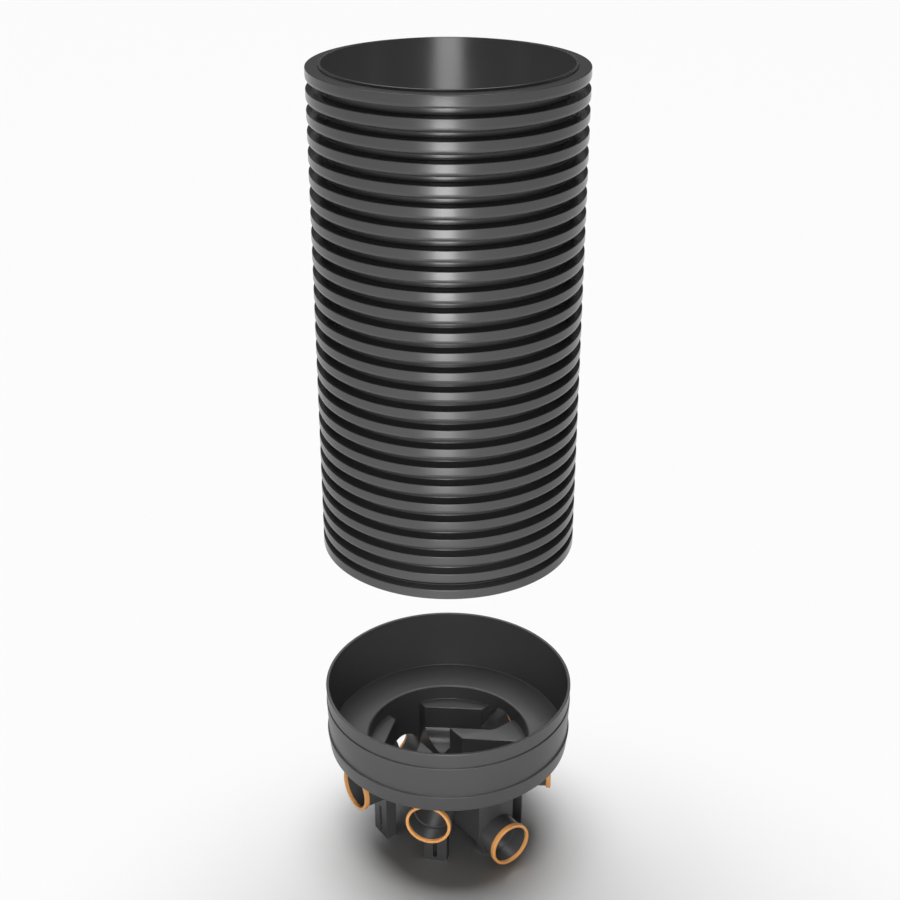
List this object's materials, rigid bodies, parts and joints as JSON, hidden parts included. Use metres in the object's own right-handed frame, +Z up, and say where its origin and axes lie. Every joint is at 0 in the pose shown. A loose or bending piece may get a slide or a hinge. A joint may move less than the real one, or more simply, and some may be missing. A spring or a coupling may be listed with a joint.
{
  "type": "drain inspection chamber",
  "caption": "Round moulded drain chamber base with side inlets, benched channels and feet, below a corrugated twin-wall riser shaft that lowers into its cup.",
  "frame": {"origin": "on the ground below the chamber's vertical axis, under the feet", "axes": "+Z up along the shaft; +X right and -Y towards the viewer as pictured; the main inlet faces azimuth -54 degrees from +X, the outlet 126"},
  "size_m": [0.7039, 0.704, 2.241],
  "materials": {
    "base_plastic": "satin moulded",
    "shaft_plastic": "satin extruded",
    "cap_plastic": "satin moulded",
    "seal_rubber": "matt"
  },
  "bodies": {
    "base": {"shaft_cup": "base_plastic", "bench_plate": "base_plastic", "main_invert": "base_plastic", "main_left_wall": "base_plastic", "main_right_wall": "base_plastic", "inlet_end_wall": "base_plastic", "outlet_end_wall": "base_plastic", "near_left_channel": "base_plastic", "near_right_channel": "base_plastic", "side_left_channel": "base_plastic", "side_right_channel": "base_plastic", "main_inlet_foot": "base_plastic", "outlet_foot": "base_plastic", "near_left_inlet_foot": "base_plastic", "near_right_inlet_foot": "base_plastic", "side_left_inlet_foot": "base_plastic", "side_right_inlet_foot": "base_plastic", "main_inlet_socket": "base_plastic", "main_inlet_cap": "cap_plastic", "main_inlet_seal": "seal_rubber", "outlet_socket": "base_plastic", "outlet_cap": "cap_plastic", "outlet_seal": "seal_rubber", "near_left_inlet_socket": "base_plastic", "near_left_inlet_cap": "cap_plastic", "near_left_inlet_seal": "seal_rubber", "near_right_inlet_socket": "base_plastic", "near_right_inlet_cap": "cap_plastic", "near_right_inlet_seal": "seal_rubber", "side_left_inlet_socket": "base_plastic", "side_left_inlet_cap": "cap_plastic", "side_left_inlet_seal": "seal_rubber", "side_right_inlet_socket": "base_plastic", "side_right_inlet_cap": "cap_plastic", "side_right_inlet_seal": "seal_rubber"},
    "shaft": {"riser_shaft": "shaft_plastic", "shaft_seal": "seal_rubber"}
  },
  "joints": [
    {"name": "shaft_slide", "type": "slide", "parent": "base", "child": "shaft", "axis": [0, 0, -1], "range_m": [0, 0.6677]}
  ]
}
